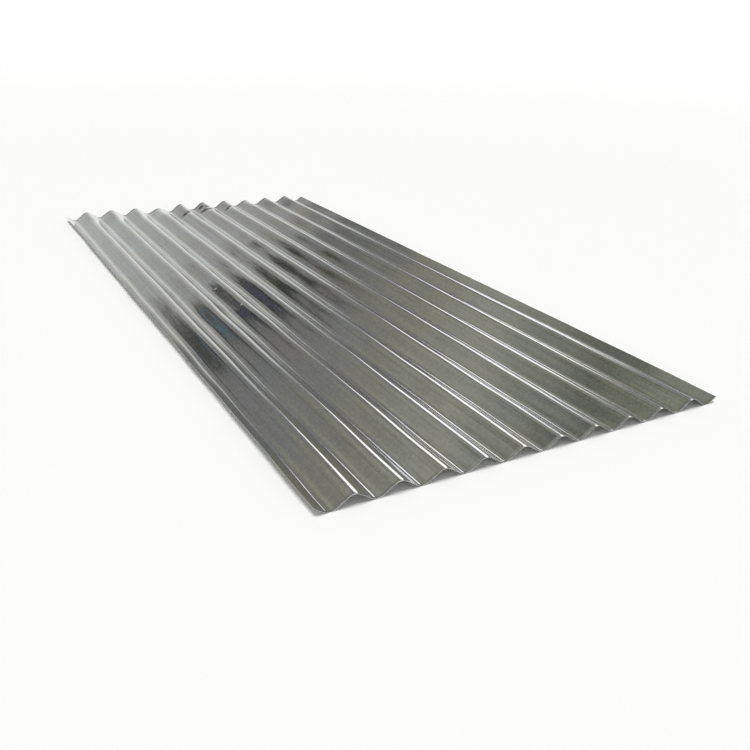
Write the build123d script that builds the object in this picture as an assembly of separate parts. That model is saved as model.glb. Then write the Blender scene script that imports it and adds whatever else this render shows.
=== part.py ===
from build123d import *
import math
import os

# Corrugated steel sheet, roll-formed from one flat strip, lying on its valleys.
# X runs across the waves, Y along them and Z up. The origin is on the plane that the
# valleys rest on, under the middle of the sheet.

# Driving dimensions, in millimetres
LENGTH = 1829.0  # along the waves, a six-foot sheet
CRESTS = 10  # whole crests between the two edge lips
PITCH = 76.2  # from one crest to the next, three inches
DEPTH = 18.0  # from the middle of the metal at a valley to its middle at a crest
THICKNESS = 0.5  # of the metal
BEND_RADIUS = 18.0  # of the middle of the metal at each crest and valley
EDGE_LIP = 25.0  # across, from the last valley to the long edge that turns up past it


def flank_angle():
    """Slope of the straight flank that joins a crest bend to the next valley bend, in radians."""
    half_pitch = PITCH / 2
    centre_rise = 2 * BEND_RADIUS - DEPTH
    centre_gap = math.hypot(half_pitch, centre_rise)
    return math.asin(2 * BEND_RADIUS / centre_gap) - math.atan2(centre_rise, half_pitch)


def surface_line(offset):
    """Section of the sheet's surface that lies this far above the middle of the metal.

    Straight flanks zigzag between sharp corners above the crests and below the valleys,
    and each corner is rounded by its bend.
    """
    angle = flank_angle()
    overshoot = BEND_RADIUS * (1 / math.cos(angle) - 1)
    lift = THICKNESS / 2 + offset / math.cos(angle)
    valley_height = lift - overshoot
    crest_height = lift + DEPTH + overshoot
    first_valley = -CRESTS * PITCH / 2

    corners = []
    radii = []
    for half_wave in range(2 * CRESTS + 1):
        is_crest = half_wave % 2 == 1
        height = crest_height if is_crest else valley_height
        corners.append((first_valley + half_wave * PITCH / 2, height))
        radii.append(BEND_RADIUS + offset if is_crest else BEND_RADIUS - offset)

    # Each long edge is cut square to its lip.
    edge_x = EDGE_LIP - offset * math.sin(angle)
    edge_height = valley_height + edge_x * math.tan(angle)
    left_edge = (first_valley - edge_x, edge_height)
    right_edge = (-first_valley + edge_x, edge_height)
    return FilletPolyline(left_edge, *corners, right_edge, radius=radii)


def corrugated_sheet():
    """The whole sheet: its wavy section drawn out along its length."""
    upper = surface_line(THICKNESS / 2)
    lower = surface_line(-THICKNESS / 2)
    left_edge = Line(lower @ 0, upper @ 0)
    right_edge = Line(lower @ 1, upper @ 1)
    section = make_face([*upper.edges(), *lower.edges(), left_edge, right_edge])
    return extrude(Plane.XZ * section, amount=LENGTH / 2, both=True)


os.makedirs("parts", exist_ok=True)
export_step(corrugated_sheet(), "parts/corrugated_sheet.step")
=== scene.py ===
import math

import bpy
import numpy as np
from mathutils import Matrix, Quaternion, Vector


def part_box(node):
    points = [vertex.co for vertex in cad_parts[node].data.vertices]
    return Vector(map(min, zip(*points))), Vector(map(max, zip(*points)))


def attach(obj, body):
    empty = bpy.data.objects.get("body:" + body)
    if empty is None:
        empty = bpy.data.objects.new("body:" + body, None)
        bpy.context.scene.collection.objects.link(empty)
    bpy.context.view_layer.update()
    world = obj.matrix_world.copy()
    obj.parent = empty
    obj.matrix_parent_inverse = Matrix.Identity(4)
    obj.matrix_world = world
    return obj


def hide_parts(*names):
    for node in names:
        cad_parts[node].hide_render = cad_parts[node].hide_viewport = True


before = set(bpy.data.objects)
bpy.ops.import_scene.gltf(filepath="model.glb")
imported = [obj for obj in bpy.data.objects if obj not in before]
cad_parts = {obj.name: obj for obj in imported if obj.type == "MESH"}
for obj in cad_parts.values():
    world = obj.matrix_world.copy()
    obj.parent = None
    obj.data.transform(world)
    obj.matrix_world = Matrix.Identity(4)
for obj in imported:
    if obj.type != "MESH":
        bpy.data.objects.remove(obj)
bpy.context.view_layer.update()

# The sheet, in metres. X runs across the waves, Y along them and Z up. What isn't given
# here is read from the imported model's box.
NODE = "corrugated_sheet"
CRESTS = 10
PITCH = 0.0762
THICKNESS = 0.0005
BEND_RADIUS = 0.018
NODE_LOW, NODE_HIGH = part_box(NODE)
LENGTH = NODE_HIGH.y - NODE_LOW.y
DEPTH = NODE_HIGH.z - NODE_LOW.z - THICKNESS
NEAR_END = NODE_LOW.y

# Bends are numbered from 0 at the left valley to 20 at the right one, so crests are odd.
# A place along the sheet is given from its near end.
LAST_BEND = 2 * CRESTS
HALF_PITCH = PITCH / 2

# A vector that is multiplied by this keeps its level part
LEVEL = (1, 1, 0)

# How finely the sheet is divided, and past which angle in degrees an edge looks sharp. The
# flare rows are the distances of the first rows from each end.
BEND_STEPS = 8
FLANK_STEPS = 3
ROW_STEP = 0.0115
END_ROW_STEP = 0.005
END_ZONE = 0.10
FLARE_ROWS = (0.0, 0.0007, 0.0014, 0.0024)
SHARP_ANGLE = 50

# Unevenness of the rolled sheet: slow curves along it, of these wavelengths, by which each
# bend wanders sideways and wavers in height and each flank swells, and an upward flare of the
# cut ends
SEED = 11
SLOW_SPANS = (0.23, 0.41, 0.97)
SLOW_GAIN = 1.5
WANDER = 0.0007
WAVER = 0.0003
SWELL = 0.00012
END_FLARE = 0.0006

# A kink from handling, which moves one crest sideways and down and fades towards the near
# end. Its reach to both sides is in bends, and its drop is a share of its shift.
KINK_BEND = 3
KINK_REACH = 2
KINK_PLACE = 0.83
KINK_LENGTH = 0.035
KINK_RECOVERY = 0.30
KINK_SHIFT = 0.0022
KINK_DROP = 0.6

# Dents: bend, place along the sheet, depth and scale. The size is half a dent's width and
# half its length at a scale of 1.
DENT_SIZE = Vector((0.024, 0.055))
DENTS = [
    (8.5, 0.30, 0.0004, 1.0),
    (10.6, 1.38, 0.0004, 1.0),
    (12.5, 0.47, 0.0004, 1.0),
    (14.4, 1.12, 0.0005, 1.0),
    (17.2, 0.66, 0.0004, 1.0),
    (1.0, 1.45, 0.0006, 1.0),
    (11.0, 1.772, 0.0016, 0.35),
    (11.3, 1.800, 0.0014, 0.3),
    (10.6, 1.790, 0.0013, 0.3),
]

# Bends that are pushed up or down at the ends: bend and height. A push fades over its reach.
PUSH_REACH = 0.11
NEAR_PUSHES = [(-0.6, -0.0015), (7, -0.001), (13, 0.001), (20.6, -0.0015)]
FAR_PUSHES = [
    (-0.6, -0.002),
    (1, 0.003),
    (2.5, 0.0025),
    (3.5, 0.0025),
    (5, 0.002),
    (7, -0.004),
    (15, -0.002),
    (17, 0.001),
    (18.4, 0.002),
]

# Creases at the far end: bend, half width in bends, distance from the far end, lift of the
# end past the crease, and slant in metres for each bend. A crease leads down into a groove,
# and the metal steps up out of it by a share of the lift.
CREASES = [
    (8.9, 0.9, 0.100, 0.0040, 0.014),
    (11.1, 1.2, 0.085, 0.0040, -0.020),
    (13.1, 1.0, 0.070, 0.0030, 0.024),
]
CREASE_LEAD = 0.016
CREASE_STEP = 0.006
CREASE_GROOVE = 0.0013
CREASE_SHARE = 0.2

# Finish of the metal. Each kind of noise has its stretch across, along and upwards, where
# more is finer, and its detail. Shades are shares of the colour, and an edge gives the values
# of noise between which a mark begins.
ZINC_WARM = (0.632, 0.622, 0.592, 1)
ZINC_COOL = (0.608, 0.622, 0.622, 1)
SPANGLE_SCALE = 230
SPANGLE_SHADE = (0.91, 1.07)
STREAKS = ((130, 0.9, 130), 3)
STREAK_SHADE = (-0.14, 0.14)
SMUDGES = ((13, 7.8, 13), 4)
SMUDGE_EDGE = (0.35, 0.65)
SCRATCHES = ((700, 5, 60), 1)
SCRATCH_EDGE = (0.70, 0.78)

# Roughness of the metal, from its least to its most smudged, and what else adds to it
ROUGHNESS = (0.045, 0.105)
SPANGLE_ROUGHNESS = 0.03
SCRATCH_ROUGHNESS = 0.12
SPOT_ROUGHNESS = 0.35

# Fine relief: drawn lines, as a bump with its depth in metres, and ripples that lean the
# surface
DRAWN_LINES = ((420, 2.5, 420), 2)
LINE_STRENGTH = 0.15
LINE_DEPTH = 0.0001
RIPPLES = ((260, 14, 260), 2)
RIPPLE_LEAN = 0.03
NOISE_MIDDLE = 0.5

# Roll lines, by their distance from a crest, and pale spots, by bend and place along the
# sheet, with the radii at which a spot begins and is full
ROLL_LINE_PLACE = 0.0132
ROLL_LINE_WIDTH = 0.0018
ROLL_LINE_SHADE = 0.12
SPOTS = [(4.45, 0.975), (4.75, 0.823), (9.1, 0.835)]
SPOT_RADII = (0.005, 0.002)
SPOT_COLOUR = (0.80, 0.81, 0.80, 1)

# Camera: its place, which way it looks in degrees, and its lens in pixels of a square frame.
# Azimuths are counted from +Y to +X.
CAMERA_PLACE = Vector((-0.8054, -1.7623, 0.6431))
CAMERA_AZIMUTH = 29.95
CAMERA_ELEVATION = -24.45
CAMERA_ROLL = -1.75
FOCAL_PIXELS = 807.9
FRAME_PIXELS = 750
SENSOR = 36.0

# Floor, in metres: its size, and between which distances it turns to plain white
FLOOR_RADIUS = 60
FLOOR_SIDES = 96
FLOOR_COLOUR = (0.97, 0.97, 0.97, 1)
FLOOR_ROUGHNESS = 0.9
FLOOR_SPECULAR = 0.1
FLOOR_FADE = (1.5, 9.0)

# The lamp overhead, with its angular size in degrees
OVERHEAD_STRENGTH = 1.72
OVERHEAD_ANGLE = 36

# Studio that the metal mirrors. A height is the upward part of a direction, and angles are in
# degrees. Stops give a colour at each height, and below the white heights all is white. Walls,
# window, pillar and ceiling edges are repeated opposite. The back window, the shade and the
# small things are on one side alone.
WHITE = (1, 1, 1, 1)
WHITE_HEIGHTS = (0.05, 0.02)
WALL_STOPS = [
    (0.00, (1.0, 1.0, 1.0)),
    (0.10, (0.86, 0.87, 0.87)),
    (0.20, (0.63, 0.66, 0.65)),
    (0.25, (0.565, 0.59, 0.58)),
    (0.31, (0.505, 0.53, 0.515)),
    (0.38, (0.46, 0.46, 0.45)),
    (0.45, (0.42, 0.42, 0.40)),
]
BRIGHT_WALL_STOPS = [
    (0.00, (1.0, 1.0, 1.0)),
    (0.10, (0.92, 0.94, 0.93)),
    (0.22, (0.79, 0.82, 0.81)),
    (0.35, (0.60, 0.60, 0.58)),
    (0.44, (0.38, 0.38, 0.37)),
]

# Upright panels of the walls: azimuth, and the half widths at which they begin and are full.
# A window fades out between the two heights of its top.
BRIGHT_WALL = (14.0, (18.0, 10.0))
PILLAR = (33.0, (3.0, 1.5))
PILLAR_COLOUR = (0.30, 0.30, 0.30, 1)
DIM_WALL = (71.0, (25.0, 23.0))
DIM_WALL_COLOUR = (0.42, 0.43, 0.41, 1)
WINDOW = (41.9, (6.7, 5.1))
WINDOW_TOP = (0.49, 0.42)
WINDOW_COLOUR = (1.5, 1.51, 1.53, 1)
BACK_WINDOW = (132.0, (36.0, 14.0))
BACK_WINDOW_TOP = (0.52, 0.44)
BACK_WINDOW_COLOUR = (1.1, 1.11, 1.12, 1)

# Where the ceiling meets the walls: the azimuth that a wall is at, and its height over its
# distance. The walls are dimmer just under this edge, at heights counted from it.
CEILING_EDGES = [(56.7, 1.113), (-29.5, 0.65)]
LOWEST_EDGE = 0.28
EDGE_BLUR = 0.011
DIM_HEIGHTS = (-0.06, 0.0)
DIM_SHARE = 0.74
CEILING_STOPS = [
    (0.30, (0.25, 0.25, 0.25)),
    (0.52, (0.25, 0.25, 0.245)),
    (0.60, (0.30, 0.30, 0.255)),
    (0.672, (0.385, 0.39, 0.345)),
    (0.73, (0.265, 0.275, 0.24)),
    (0.78, (0.155, 0.165, 0.145)),
    (0.817, (0.29, 0.31, 0.24)),
    (0.90, (0.30, 0.30, 0.28)),
    (0.93, (0.95, 0.95, 0.95)),
    (1.00, (1.0, 1.0, 1.0)),
]

# A dark shade on the ceiling, at heights above its edge and with a colour at each azimuth
SHADE_HEIGHTS = (0.15, 0.07)
SHADE_STOPS = [
    (-16.5, (0.25, 0.25, 0.25)),
    (-15.0, (0.085, 0.085, 0.08)),
    (-14.2, (0.085, 0.085, 0.08)),
    (-13.4, (0.165, 0.165, 0.16)),
    (-12.7, (0.155, 0.155, 0.15)),
    (-12.2, (0.075, 0.075, 0.075)),
    (-11.0, (0.06, 0.06, 0.06)),
    (-9.5, (0.045, 0.05, 0.05)),
    (-8.0, (0.035, 0.04, 0.03)),
    (-7.0, (0.055, 0.055, 0.045)),
    (-6.3, (0.13, 0.125, 0.115)),
    (-5.7, (0.22, 0.215, 0.20)),
    (-4.0, (0.22, 0.22, 0.215)),
    (-2.5, (0.185, 0.185, 0.185)),
    (0.0, (0.25, 0.25, 0.25)),
]

# Small dark and blue things beside it: azimuth, elevation, the radii at which they begin and
# are full, and colour
SMALL_THINGS = [
    (-16.0, 23.6, (2.4, 1.2), (0.085, 0.085, 0.08, 1)),
    (-13.2, 24.2, (0.7, 0.25), (0.05, 0.25, 0.34, 1)),
    (-11.9, 25.4, (0.8, 0.3), (0.085, 0.085, 0.17, 1)),
    (-10.4, 26.3, (0.7, 0.3), (0.085, 0.085, 0.17, 1)),
]


def flank_angle():
    """Slope of the straight flanks between the bends, in radians."""
    centre_rise = 2 * BEND_RADIUS - DEPTH
    centre_gap = math.hypot(HALF_PITCH, centre_rise)
    return math.asin(2 * BEND_RADIUS / centre_gap) - math.atan2(centre_rise, HALF_PITCH)


def bend_place(bend):
    """The x of a bend, or of a place between two bends."""
    return (bend - CRESTS) * HALF_PITCH


def bend_point(bend, turn):
    """The point of a bend where the metal has turned by an angle from level: x, z and tilt."""
    up = 1 if bend % 2 else -1
    centre = THICKNESS / 2 + (DEPTH - BEND_RADIUS if up > 0 else BEND_RADIUS)
    x = bend_place(bend) + BEND_RADIUS * math.sin(turn)
    z = centre + up * BEND_RADIUS * math.cos(turn)
    return np.array([x, z, up * turn])


def flank_points(start, end):
    """Points between the two ends of a flank, without the ends themselves."""
    return [start + (end - start) * step / FLANK_STEPS for step in range(1, FLANK_STEPS)]


def section():
    """The middle of the metal across the sheet: all x, all z and all tilts.

    A tilt is that of the upward normal towards +X, in radians.
    """
    slope = flank_angle()
    foot_x, foot_z, foot_tilt = bend_point(0, -slope)
    edge_x = THICKNESS / 2 * math.sin(slope) - NODE_HIGH.x
    edge_z = foot_z + (foot_x - edge_x) * math.tan(slope)
    left_edge = np.array([edge_x, edge_z, foot_tilt])
    right_edge = np.array([-edge_x, edge_z, -foot_tilt])
    points = [left_edge]
    for bend in range(LAST_BEND + 1):
        curve = [bend_point(bend, turn) for turn in np.linspace(-slope, slope, BEND_STEPS + 1)]
        points += flank_points(points[-1], curve[0]) + curve
    points += flank_points(points[-1], right_edge) + [right_edge]
    return np.array(points).T


def rows():
    """Places along the sheet, closer together towards its ends."""
    flare = np.array(FLARE_ROWS)
    end_steps = round(END_ZONE / END_ROW_STEP)
    middle_steps = round((LENGTH - 2 * END_ZONE) / ROW_STEP)
    end = np.concatenate([flare, np.linspace(flare[-1], END_ZONE, end_steps + 1)[1:]])
    middle = np.linspace(END_ZONE, LENGTH - END_ZONE, middle_steps + 1)[1:-1]
    return np.concatenate([end, middle, LENGTH - end[::-1]])


def bump(distance):
    """1 in the middle, falling smoothly to 0 at a distance of 1 and staying there."""
    return np.clip(1 - distance ** 2, 0, 1) ** 2


def slow_curves(generator, along, count):
    """Random slow curves along the sheet, one in each column, mostly between -1 and 1."""
    curves = np.zeros((len(along), count))
    for span in SLOW_SPANS:
        phase = generator.uniform(0, 2 * math.pi, count)
        curves += np.cos(2 * math.pi * along[:, None] / span + phase) / len(SLOW_SPANS) * SLOW_GAIN
    return curves


def bend_drift(generator, along):
    """How far each bend strays sideways and upwards, for every place along the sheet."""
    bends = np.arange(LAST_BEND + 1)
    sideways = WANDER * slow_curves(generator, along, len(bends))
    upwards = WAVER * slow_curves(generator, along, len(bends))
    before_kink = KINK_PLACE - along
    step = (1 + np.tanh(before_kink / KINK_LENGTH)) / 2
    fade = np.exp(-np.clip(before_kink, 0, None) / KINK_RECOVERY)
    kink = (KINK_SHIFT * step * fade)[:, None] * bump((bends - KINK_BEND) / KINK_REACH)
    return sideways - kink, upwards - kink * KINK_DROP


def dent_depths(x, along):
    """How deep the dents are at every point of the sheet."""
    depths = np.zeros((len(along), len(x)))
    for bend, place, depth, scale in DENTS:
        across = (x - bend_place(bend)) / (DENT_SIZE.x * scale)
        lengthways = (along - place) / (DENT_SIZE.y * scale)
        depths += depth * bump(np.hypot(across, lengthways[:, None]))
    return depths


def end_lift(bends, along):
    """How far the pushes, flares and creases of both ends lift every point of the sheet."""
    from_far_end = LENGTH - along
    lift = np.zeros((len(along), len(bends)))
    for pushes, from_end in ((NEAR_PUSHES, along), (FAR_PUSHES, from_far_end)):
        for bend, height in pushes:
            lift += height * bump(from_end / PUSH_REACH)[:, None] * bump(bends - bend)
        lift += END_FLARE * bump(from_end / FLARE_ROWS[-1])[:, None]
    for bend, half_width, distance, height, slant in CREASES:
        past_crease = distance - from_far_end[:, None] - slant * (bends - bend)
        places = (-CREASE_LEAD, 0, CREASE_STEP, distance)
        heights = (0, -CREASE_GROOVE, height * CREASE_SHARE, height)
        lift += np.interp(past_crease, places, heights) * bump((bends - bend) / half_width)
    return lift


def sheet_points():
    """Grid of points in the middle of the metal, with rows along the sheet and columns across."""
    generator = np.random.default_rng(SEED)
    x, z, tilt = section()
    along = rows()
    bends = x / HALF_PITCH + CRESTS
    first = np.clip(np.floor(bends), 0, LAST_BEND - 1).astype(int)
    share = np.clip(bends - first, 0, 1)

    sideways, upwards = bend_drift(generator, along)
    shift = sideways[:, first] * (1 - share) + sideways[:, first + 1] * share
    rise = upwards[:, first] * (1 - share) + upwards[:, first + 1] * share
    rise += end_lift(bends, along)
    swell = SWELL * slow_curves(generator, along, LAST_BEND)[:, first] * np.sin(math.pi * share) ** 2
    swell -= dent_depths(x, along)

    grid = np.empty((len(along), len(x), 3))
    grid[..., 0] = x + shift + swell * np.sin(tilt)
    grid[..., 1] = NEAR_END + along[:, None]
    grid[..., 2] = np.maximum(z + rise + swell * np.cos(tilt), THICKNESS / 2)
    return grid


def grid_normals(points):
    """Upward unit normals of a grid of points."""
    across = np.gradient(points, axis=1)
    along = np.gradient(points, axis=0)
    normals = np.cross(across, along)
    return normals / np.linalg.norm(normals, axis=2, keepdims=True)


def quads(*corners):
    """Four-sided faces from four grids of corners."""
    return np.stack([corner.ravel() for corner in corners], 1)


def closed_mesh(name, middle):
    """A closed mesh of even thickness about a grid of points in the middle of the metal."""
    count_y, count_x = middle.shape[:2]
    normals = grid_normals(middle)
    upper = middle + normals * THICKNESS / 2
    lower = middle - normals * THICKNESS / 2
    points = np.concatenate([upper.reshape(-1, 3), lower.reshape(-1, 3)])
    top = np.arange(count_y * count_x).reshape(count_y, count_x)
    under = top + count_y * count_x
    faces = [
        quads(top[:-1, :-1], top[:-1, 1:], top[1:, 1:], top[1:, :-1]),
        quads(under[:-1, :-1], under[1:, :-1], under[1:, 1:], under[:-1, 1:]),
        quads(top[0, 1:], top[0, :-1], under[0, :-1], under[0, 1:]),
        quads(top[-1, :-1], top[-1, 1:], under[-1, 1:], under[-1, :-1]),
        quads(top[:-1, 0], top[1:, 0], under[1:, 0], under[:-1, 0]),
        quads(top[1:, -1], top[:-1, -1], under[:-1, -1], under[1:, -1]),
    ]
    mesh = bpy.data.meshes.new(name)
    mesh.from_pydata(points.tolist(), [], np.concatenate(faces).tolist())
    mesh.polygons.foreach_set("use_smooth", np.ones(len(mesh.polygons), bool))
    mesh.set_sharp_from_angle(angle=math.radians(SHARP_ANGLE))
    mesh.update()
    return mesh


class Graph:
    """A node tree with short ways to add to it. An input is a socket or a value."""

    # Where a Mix node takes its two colours, and where it gives their blend
    MIX_INPUTS = (6, 7)
    MIX_OUTPUT = 2

    def __init__(self, tree):
        self.nodes = tree.nodes
        self.links = tree.links

    def put(self, socket, value):
        """Links an input to a socket, or sets it to a value."""
        if isinstance(value, bpy.types.NodeSocket):
            self.links.new(value, socket)
        else:
            socket.default_value = value

    def add(self, kind, *inputs, **settings):
        """A new node with its first inputs filled."""
        node = self.nodes.new(kind)
        for name, value in settings.items():
            setattr(node, name, value)
        for socket, value in zip(node.inputs, inputs):
            self.put(socket, value)
        return node

    def math(self, operation, *inputs):
        """The result of an operation on numbers."""
        return self.add("ShaderNodeMath", *inputs, operation=operation).outputs["Value"]

    def vector(self, operation, *inputs, output="Vector"):
        """The result of an operation on vectors, which is a number where the output is Value."""
        return self.add("ShaderNodeVectorMath", *inputs, operation=operation).outputs[output]

    def smooth(self, value, low, high):
        """0 at low and 1 at high, with a smooth step between them; low may be above high."""
        node = self.add("ShaderNodeMapRange", value, low, high, interpolation_type="SMOOTHSTEP")
        return node.outputs["Result"]

    def spread(self, value, low, high):
        """A value from 0 to 1 stretched to run from low to high."""
        return self.add("ShaderNodeMapRange", value, 0, 1, low, high).outputs["Result"]

    def noise(self, place, stretch, detail, output="Fac"):
        """Noise from 0 to 1 whose grain is as fine as the stretch is large, in each direction."""
        node = self.add("ShaderNodeTexNoise", self.vector("MULTIPLY", place, stretch))
        node.inputs["Scale"].default_value = 1
        node.inputs["Detail"].default_value = detail
        return node.outputs[output]

    def ramp(self, value, stops):
        """Colours at places from 0 to 1, blended evenly."""
        node = self.add("ShaderNodeValToRGB", value)
        elements = node.color_ramp.elements
        while len(elements) < len(stops):
            elements.new(1)
        for element, (place, colour) in zip(elements, stops):
            element.position = place
            element.color = (*colour, 1)
        return node.outputs["Color"]

    def mix(self, share, first, second):
        """A blend of two colours."""
        node = self.add("ShaderNodeMix", share, data_type="RGBA")
        for index, colour in zip(self.MIX_INPUTS, (first, second)):
            self.put(node.inputs[index], colour)
        return node.outputs[self.MIX_OUTPUT]


def new_material(name):
    """A material, with its graph and its shader."""
    material = bpy.data.materials.new(name)
    material.use_nodes = True
    graph = Graph(material.node_tree)
    return material, graph, graph.nodes["Principled BSDF"]


def pale_spots(graph, place):
    """1 on the pale spots of the sheet and 0 elsewhere."""
    flat = graph.vector("MULTIPLY", place, LEVEL)
    spots = 0
    for bend, distance in SPOTS:
        middle = (bend_place(bend), NEAR_END + distance, 0)
        from_middle = graph.vector("DISTANCE", flat, middle, output="Value")
        spots = graph.math("MAXIMUM", spots, graph.smooth(from_middle, *SPOT_RADII))
    return spots


def roll_lines(graph, place):
    """1 on the faint lines that the forming rolls leave on both sides of each crest."""
    across = graph.add("ShaderNodeSeparateXYZ", place).outputs["X"]
    from_crest = graph.math("PINGPONG", graph.math("ADD", across, HALF_PITCH), HALF_PITCH)
    from_line = graph.math("ABSOLUTE", graph.math("SUBTRACT", from_crest, ROLL_LINE_PLACE))
    return graph.smooth(from_line, ROLL_LINE_WIDTH, 0)


def fine_relief(graph, place):
    """The normal of the metal with its drawn lines and ripples."""
    lines = graph.add("ShaderNodeBump", LINE_STRENGTH, LINE_DEPTH)
    graph.links.new(graph.noise(place, *DRAWN_LINES), lines.inputs["Height"])
    ripples = graph.noise(place, *RIPPLES, output="Color")
    lean = graph.vector("SUBTRACT", ripples, (NOISE_MIDDLE,) * 3)
    lean = graph.vector("MULTIPLY", lean, (RIPPLE_LEAN,) * 3)
    return graph.vector("NORMALIZE", graph.vector("ADD", lines.outputs["Normal"], lean))


def galvanised_steel():
    """Bright zinc with a fine spangle, roll lines, streaks, smudges, scratches and pale spots."""
    material, graph, shader = new_material("galvanised_steel")
    place = graph.add("ShaderNodeTexCoord").outputs["Object"]
    cells = graph.add("ShaderNodeTexVoronoi", place)
    cells.inputs["Scale"].default_value = SPANGLE_SCALE
    spangle = graph.add("ShaderNodeSeparateColor", cells.outputs["Color"]).outputs["Red"]
    streaks = graph.noise(place, *STREAKS)
    smudges = graph.noise(place, *SMUDGES)
    scratches = graph.smooth(graph.noise(place, *SCRATCHES), *SCRATCH_EDGE)
    spots = pale_spots(graph, place)

    tint = graph.mix(graph.smooth(smudges, *SMUDGE_EDGE), ZINC_COOL, ZINC_WARM)
    shade = graph.spread(spangle, *SPANGLE_SHADE)
    shade = graph.math("ADD", shade, graph.spread(streaks, *STREAK_SHADE))
    shade = graph.math("SUBTRACT", shade, graph.spread(roll_lines(graph, place), 0, ROLL_LINE_SHADE))
    shaded = graph.add("ShaderNodeVectorMath", tint, operation="SCALE")
    graph.links.new(shade, shaded.inputs["Scale"])
    colour = graph.mix(spots, shaded.outputs["Vector"], SPOT_COLOUR)
    graph.links.new(colour, shader.inputs["Base Color"])

    roughness = graph.spread(smudges, *ROUGHNESS)
    marks = ((spangle, SPANGLE_ROUGHNESS), (scratches, SCRATCH_ROUGHNESS), (spots, SPOT_ROUGHNESS))
    for mark, more in marks:
        roughness = graph.math("ADD", roughness, graph.spread(mark, 0, more))
    graph.links.new(roughness, shader.inputs["Roughness"])
    graph.links.new(fine_relief(graph, place), shader.inputs["Normal"])
    shader.inputs["Metallic"].default_value = 1
    return material


def build_sheet():
    """The sheet itself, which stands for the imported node."""
    piece = bpy.data.objects.new("galvanised_sheet", closed_mesh("galvanised_sheet", sheet_points()))
    bpy.context.scene.collection.objects.link(piece)
    piece.data.materials.append(galvanised_steel())
    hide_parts(NODE)
    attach(piece, "root")


def build_floor():
    """A wide pale floor that turns to plain white far from the sheet."""
    bpy.ops.mesh.primitive_circle_add(vertices=FLOOR_SIDES, radius=FLOOR_RADIUS, fill_type="NGON")
    floor = bpy.context.object
    floor.name = "floor"
    material, graph, shader = new_material("floor")
    shader.inputs["Base Color"].default_value = FLOOR_COLOUR
    shader.inputs["Roughness"].default_value = FLOOR_ROUGHNESS
    shader.inputs["Specular IOR Level"].default_value = FLOOR_SPECULAR
    place = graph.add("ShaderNodeTexCoord").outputs["Object"]
    far = graph.smooth(graph.vector("LENGTH", place, output="Value"), *FLOOR_FADE)
    white = graph.add("ShaderNodeEmission").outputs["Emission"]
    surface = graph.add("ShaderNodeMixShader", far, shader.outputs["BSDF"], white).outputs["Shader"]
    graph.links.new(surface, graph.nodes["Material Output"].inputs["Surface"])
    floor.data.materials.append(material)


def direction_at(azimuth, elevation=0):
    """The direction at an azimuth and an elevation, in degrees."""
    turn = math.radians(azimuth)
    lift = math.radians(elevation)
    return math.sin(turn) * math.cos(lift), math.cos(turn) * math.cos(lift), math.sin(lift)


def facing(graph, direction, azimuth, elevation=0):
    """The cosine of the angle between a direction and an azimuth and elevation."""
    return graph.vector("DOT_PRODUCT", direction, direction_at(azimuth, elevation), output="Value")


def cosines(angles):
    """The cosines of angles in degrees."""
    return [math.cos(math.radians(angle)) for angle in angles]


def patch(graph, direction, azimuth, half_widths, elevation=0):
    """1 at an azimuth and elevation, falling to 0 at the first of the half widths."""
    return graph.smooth(facing(graph, direction, azimuth, elevation), *cosines(half_widths))


def panel(graph, level, azimuth, half_widths):
    """1 at an azimuth and opposite it, falling to 0 at the first of the half widths."""
    towards = graph.math("ABSOLUTE", facing(graph, level, azimuth))
    return graph.smooth(towards, *cosines(half_widths))


def ceiling_edge(graph, direction):
    """The height at which the ceiling meets the walls."""
    tops = []
    for azimuth, rise in CEILING_EDGES:
        towards = graph.math("ABSOLUTE", facing(graph, direction, azimuth))
        tops.append(graph.math("MULTIPLY", towards, rise))
    return graph.math("MAXIMUM", graph.math("MINIMUM", *tops), LOWEST_EDGE)


def wall_colour(graph, level, height, above_edge):
    """Walls that darken upwards, with a brighter and a dimmer part and a pillar."""
    wall = graph.ramp(height, WALL_STOPS)
    wall = graph.mix(panel(graph, level, *BRIGHT_WALL), wall, graph.ramp(height, BRIGHT_WALL_STOPS))
    wall = graph.mix(panel(graph, level, *PILLAR), wall, PILLAR_COLOUR)
    wall = graph.mix(panel(graph, level, *DIM_WALL), wall, DIM_WALL_COLOUR)
    dimmed = graph.vector("MULTIPLY", wall, (DIM_SHARE,) * 3)
    return graph.mix(graph.smooth(above_edge, *DIM_HEIGHTS), wall, dimmed)


def ceiling_colour(graph, parts, above_edge):
    """A dim ceiling with a bright middle, and a dark shade along part of its edge."""
    azimuth = graph.math("DEGREES", graph.math("ARCTAN2", parts["X"], parts["Y"]))
    first, last = SHADE_STOPS[0][0], SHADE_STOPS[-1][0]
    along = graph.add("ShaderNodeMapRange", azimuth, first, last).outputs["Result"]
    stops = [((place - first) / (last - first), colour) for place, colour in SHADE_STOPS]
    shaded = graph.smooth(above_edge, *SHADE_HEIGHTS)
    return graph.mix(shaded, graph.ramp(parts["Z"], CEILING_STOPS), graph.ramp(along, stops))


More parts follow.
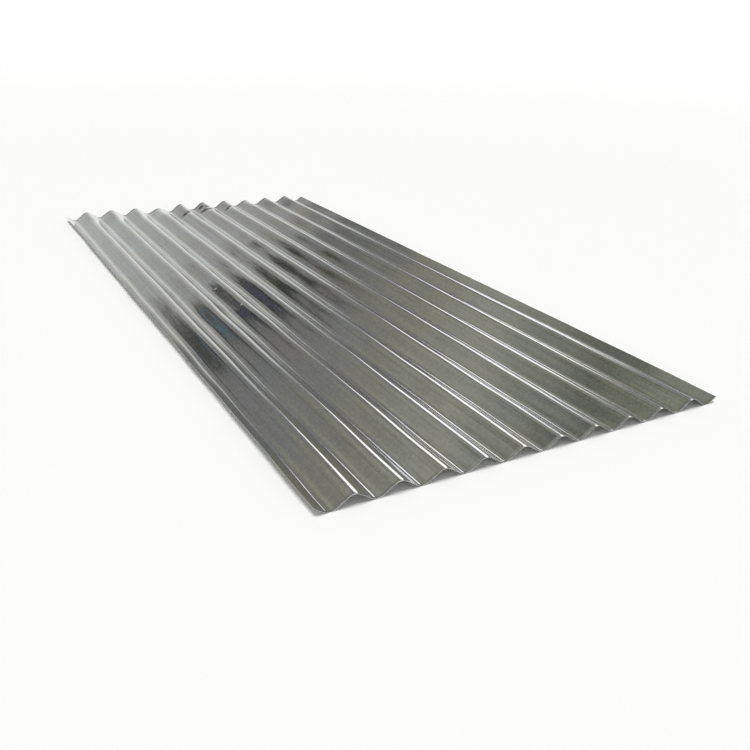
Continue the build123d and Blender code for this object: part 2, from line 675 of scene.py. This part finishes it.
def build_world():
    """The studio: walls that are white at the floor, tall windows and a ceiling."""
    world = bpy.data.worlds.new("studio")
    bpy.context.scene.world = world
    world.use_nodes = True
    graph = Graph(world.node_tree)
    direction = graph.add("ShaderNodeTexCoord").outputs["Generated"]
    level = graph.vector("NORMALIZE", graph.vector("MULTIPLY", direction, LEVEL))
    parts = graph.add("ShaderNodeSeparateXYZ", direction).outputs
    height = parts["Z"]
    above_edge = graph.math("SUBTRACT", height, ceiling_edge(graph, direction))

    wall = wall_colour(graph, level, height, above_edge)
    ceiling = ceiling_colour(graph, parts, above_edge)
    room = graph.mix(graph.smooth(above_edge, -EDGE_BLUR, EDGE_BLUR), wall, ceiling)
    for azimuth, elevation, radii, colour in SMALL_THINGS:
        room = graph.mix(patch(graph, direction, azimuth, radii, elevation), room, colour)
    windows = (
        (panel(graph, level, *WINDOW), WINDOW_TOP, WINDOW_COLOUR),
        (patch(graph, level, *BACK_WINDOW), BACK_WINDOW_TOP, BACK_WINDOW_COLOUR),
    )
    for upright, top, colour in windows:
        window = graph.math("MULTIPLY", upright, graph.smooth(height, *top))
        room = graph.mix(window, room, colour)
    room = graph.mix(graph.smooth(height, *WHITE_HEIGHTS), room, WHITE)
    graph.links.new(room, graph.nodes["Background"].inputs["Color"])


def build_lights():
    """One soft lamp straight overhead. The metal mirrors the ceiling's bright middle in its place."""
    data = bpy.data.lights.new("overhead", "SUN")
    data.energy = OVERHEAD_STRENGTH
    data.angle = math.radians(OVERHEAD_ANGLE)
    lamp = bpy.data.objects.new("overhead", data)
    lamp.visible_glossy = False
    bpy.context.scene.collection.objects.link(lamp)


def build_camera():
    """The photograph's view, with the sheet's near end at the front."""
    ahead = Vector(direction_at(CAMERA_AZIMUTH, CAMERA_ELEVATION))
    data = bpy.data.cameras.new("camera")
    data.sensor_width = SENSOR
    data.lens = FOCAL_PIXELS / FRAME_PIXELS * SENSOR
    camera = bpy.data.objects.new("camera", data)
    camera.location = CAMERA_PLACE
    camera.rotation_mode = "QUATERNION"
    roll = Quaternion(ahead, math.radians(CAMERA_ROLL))
    camera.rotation_quaternion = roll @ ahead.to_track_quat("-Z", "Y")
    bpy.context.scene.collection.objects.link(camera)
    bpy.context.scene.camera = camera


build_sheet()
build_floor()
build_world()
build_lights()
build_camera()
bpy.context.scene.view_settings.view_transform = "Standard"
